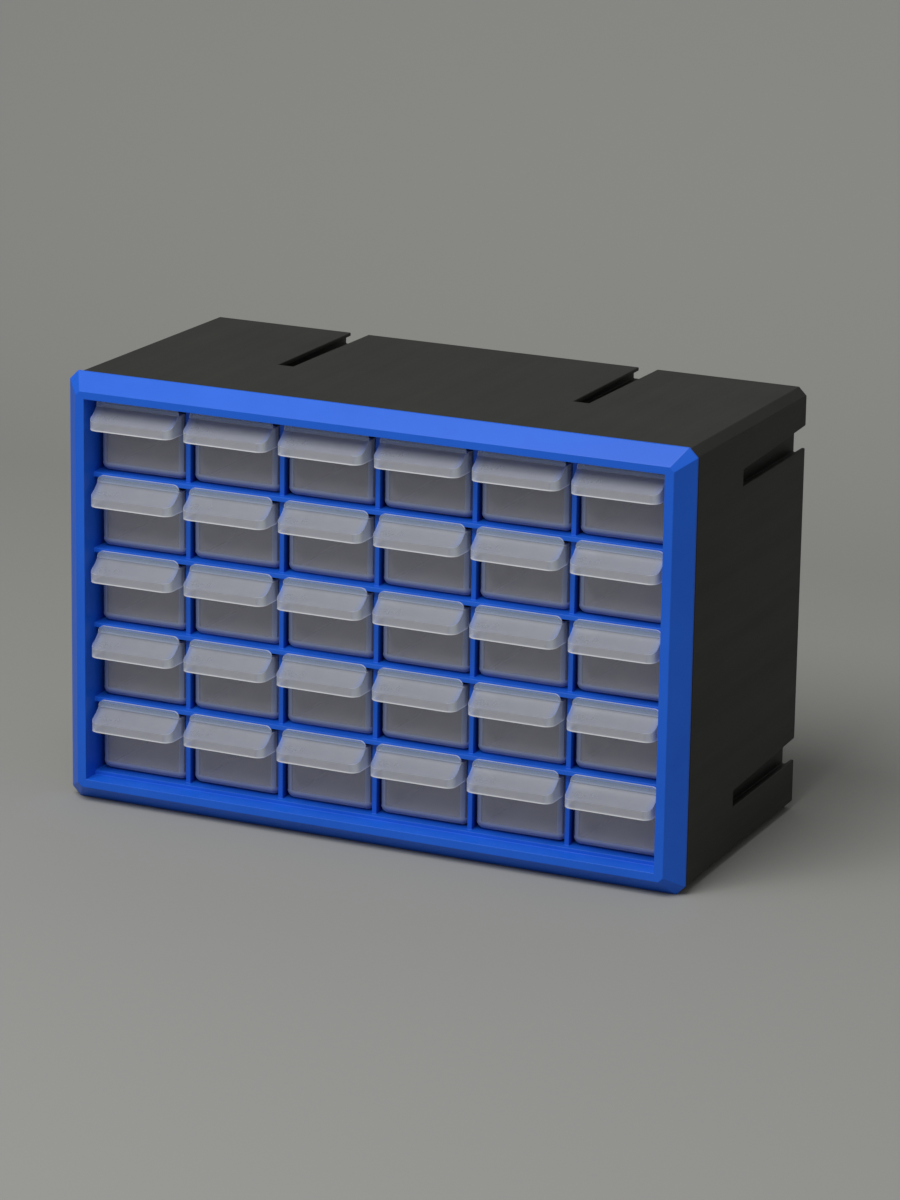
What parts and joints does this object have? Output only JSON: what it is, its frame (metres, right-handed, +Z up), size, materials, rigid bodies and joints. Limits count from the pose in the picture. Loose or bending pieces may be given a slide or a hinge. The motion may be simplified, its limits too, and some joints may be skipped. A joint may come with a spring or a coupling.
{
  "type": "parts bin cabinet",
  "caption": "Small-parts cabinet with a black housing, a blue bevelled front frame and a grid of clear slide-out drawers with hooded pulls.",
  "frame": {"origin": "centre of the bounding box on the surface that the cabinet stands on", "axes": "+X to the right seen from the front, +Y to the back, +Z up"},
  "size_m": [0.365, 0.1722, 0.2408],
  "materials": {
    "black_housing": "matte, faintly grained",
    "black_plate": "matte",
    "blue_frame": "satin",
    "clear_drawer": "milky translucent polypropylene"
  },
  "bodies": {
    "cabinet": {"housing": "black_housing", "front_frame": "blue_frame", "grid_rail_1": "blue_frame", "grid_rail_2": "blue_frame", "grid_rail_3": "blue_frame", "grid_rail_4": "blue_frame", "grid_divider_1": "blue_frame", "grid_divider_2": "blue_frame", "grid_divider_3": "blue_frame", "grid_divider_4": "blue_frame", "grid_divider_5": "blue_frame", "shelf_1": "black_plate", "shelf_2": "black_plate", "shelf_3": "black_plate", "shelf_4": "black_plate", "shelf_5": "black_plate", "upright_1": "black_plate", "upright_2": "black_plate", "upright_3": "black_plate", "upright_4": "black_plate", "upright_5": "black_plate", "upright_6": "black_plate", "upright_7": "black_plate"},
    "drawer_r1_c1": {"drawer_r1_c1": "clear_drawer"},
    "drawer_r1_c2": {"drawer_r1_c2": "clear_drawer"},
    "drawer_r1_c3": {"drawer_r1_c3": "clear_drawer"},
    "drawer_r1_c4": {"drawer_r1_c4": "clear_drawer"},
    "drawer_r1_c5": {"drawer_r1_c5": "clear_drawer"},
    "drawer_r1_c6": {"drawer_r1_c6": "clear_drawer"},
    "drawer_r2_c1": {"drawer_r2_c1": "clear_drawer"},
    "drawer_r2_c2": {"drawer_r2_c2": "clear_drawer"},
    "drawer_r2_c3": {"drawer_r2_c3": "clear_drawer"},
    "drawer_r2_c4": {"drawer_r2_c4": "clear_drawer"},
    "drawer_r2_c5": {"drawer_r2_c5": "clear_drawer"},
    "drawer_r2_c6": {"drawer_r2_c6": "clear_drawer"},
    "drawer_r3_c1": {"drawer_r3_c1": "clear_drawer"},
    "drawer_r3_c2": {"drawer_r3_c2": "clear_drawer"},
    "drawer_r3_c3": {"drawer_r3_c3": "clear_drawer"},
    "drawer_r3_c4": {"drawer_r3_c4": "clear_drawer"},
    "drawer_r3_c5": {"drawer_r3_c5": "clear_drawer"},
    "drawer_r3_c6": {"drawer_r3_c6": "clear_drawer"},
    "drawer_r4_c1": {"drawer_r4_c1": "clear_drawer"},
    "drawer_r4_c2": {"drawer_r4_c2": "clear_drawer"},
    "drawer_r4_c3": {"drawer_r4_c3": "clear_drawer"},
    "drawer_r4_c4": {"drawer_r4_c4": "clear_drawer"},
    "drawer_r4_c5": {"drawer_r4_c5": "clear_drawer"},
    "drawer_r4_c6": {"drawer_r4_c6": "clear_drawer"},
    "drawer_r5_c1": {"drawer_r5_c1": "clear_drawer"},
    "drawer_r5_c2": {"drawer_r5_c2": "clear_drawer"},
    "drawer_r5_c3": {"drawer_r5_c3": "clear_drawer"},
    "drawer_r5_c4": {"drawer_r5_c4": "clear_drawer"},
    "drawer_r5_c5": {"drawer_r5_c5": "clear_drawer"},
    "drawer_r5_c6": {"drawer_r5_c6": "clear_drawer"}
  },
  "joints": [
    {"name": "slide_r1_c1", "type": "slide", "parent": "cabinet", "child": "drawer_r1_c1", "axis": [0, -1, 0], "range_m": [0, 0.1365]},
    {"name": "slide_r1_c2", "type": "slide", "parent": "cabinet", "child": "drawer_r1_c2", "axis": [0, -1, 0], "range_m": [0, 0.1365]},
    {"name": "slide_r1_c3", "type": "slide", "parent": "cabinet", "child": "drawer_r1_c3", "axis": [0, -1, 0], "range_m": [0, 0.1365]},
    {"name": "slide_r1_c4", "type": "slide", "parent": "cabinet", "child": "drawer_r1_c4", "axis": [0, -1, 0], "range_m": [0, 0.1365]},
    {"name": "slide_r1_c5", "type": "slide", "parent": "cabinet", "child": "drawer_r1_c5", "axis": [0, -1, 0], "range_m": [0, 0.1365]},
    {"name": "slide_r1_c6", "type": "slide", "parent": "cabinet", "child": "drawer_r1_c6", "axis": [0, -1, 0], "range_m": [0, 0.1365]},
    {"name": "slide_r2_c1", "type": "slide", "parent": "cabinet", "child": "drawer_r2_c1", "axis": [0, -1, 0], "range_m": [0, 0.1365]},
    {"name": "slide_r2_c2", "type": "slide", "parent": "cabinet", "child": "drawer_r2_c2", "axis": [0, -1, 0], "range_m": [0, 0.1365]},
    {"name": "slide_r2_c3", "type": "slide", "parent": "cabinet", "child": "drawer_r2_c3", "axis": [0, -1, 0], "range_m": [0, 0.1365]},
    {"name": "slide_r2_c4", "type": "slide", "parent": "cabinet", "child": "drawer_r2_c4", "axis": [0, -1, 0], "range_m": [0, 0.1365]},
    {"name": "slide_r2_c5", "type": "slide", "parent": "cabinet", "child": "drawer_r2_c5", "axis": [0, -1, 0], "range_m": [0, 0.1365]},
    {"name": "slide_r2_c6", "type": "slide", "parent": "cabinet", "child": "drawer_r2_c6", "axis": [0, -1, 0], "range_m": [0, 0.1365]},
    {"name": "slide_r3_c1", "type": "slide", "parent": "cabinet", "child": "drawer_r3_c1", "axis": [0, -1, 0], "range_m": [0, 0.1365]},
    {"name": "slide_r3_c2", "type": "slide", "parent": "cabinet", "child": "drawer_r3_c2", "axis": [0, -1, 0], "range_m": [0, 0.1365]},
    {"name": "slide_r3_c3", "type": "slide", "parent": "cabinet", "child": "drawer_r3_c3", "axis": [0, -1, 0], "range_m": [0, 0.1365]},
    {"name": "slide_r3_c4", "type": "slide", "parent": "cabinet", "child": "drawer_r3_c4", "axis": [0, -1, 0], "range_m": [0, 0.1365]},
    {"name": "slide_r3_c5", "type": "slide", "parent": "cabinet", "child": "drawer_r3_c5", "axis": [0, -1, 0], "range_m": [0, 0.1365]},
    {"name": "slide_r3_c6", "type": "slide", "parent": "cabinet", "child": "drawer_r3_c6", "axis": [0, -1, 0], "range_m": [0, 0.1365]},
    {"name": "slide_r4_c1", "type": "slide", "parent": "cabinet", "child": "drawer_r4_c1", "axis": [0, -1, 0], "range_m": [0, 0.1365]},
    {"name": "slide_r4_c2", "type": "slide", "parent": "cabinet", "child": "drawer_r4_c2", "axis": [0, -1, 0], "range_m": [0, 0.1365]},
    {"name": "slide_r4_c3", "type": "slide", "parent": "cabinet", "child": "drawer_r4_c3", "axis": [0, -1, 0], "range_m": [0, 0.1365]},
    {"name": "slide_r4_c4", "type": "slide", "parent": "cabinet", "child": "drawer_r4_c4", "axis": [0, -1, 0], "range_m": [0, 0.1365]},
    {"name": "slide_r4_c5", "type": "slide", "parent": "cabinet", "child": "drawer_r4_c5", "axis": [0, -1, 0], "range_m": [0, 0.1365]},
    {"name": "slide_r4_c6", "type": "slide", "parent": "cabinet", "child": "drawer_r4_c6", "axis": [0, -1, 0], "range_m": [0, 0.1365]},
    {"name": "slide_r5_c1", "type": "slide", "parent": "cabinet", "child": "drawer_r5_c1", "axis": [0, -1, 0], "range_m": [0, 0.1365]},
    {"name": "slide_r5_c2", "type": "slide", "parent": "cabinet", "child": "drawer_r5_c2", "axis": [0, -1, 0], "range_m": [0, 0.1365]},
    {"name": "slide_r5_c3", "type": "slide", "parent": "cabinet", "child": "drawer_r5_c3", "axis": [0, -1, 0], "range_m": [0, 0.1365]},
    {"name": "slide_r5_c4", "type": "slide", "parent": "cabinet", "child": "drawer_r5_c4", "axis": [0, -1, 0], "range_m": [0, 0.1365]},
    {"name": "slide_r5_c5", "type": "slide", "parent": "cabinet", "child": "drawer_r5_c5", "axis": [0, -1, 0], "range_m": [0, 0.1365]},
    {"name": "slide_r5_c6", "type": "slide", "parent": "cabinet", "child": "drawer_r5_c6", "axis": [0, -1, 0], "range_m": [0, 0.1365]}
  ]
}
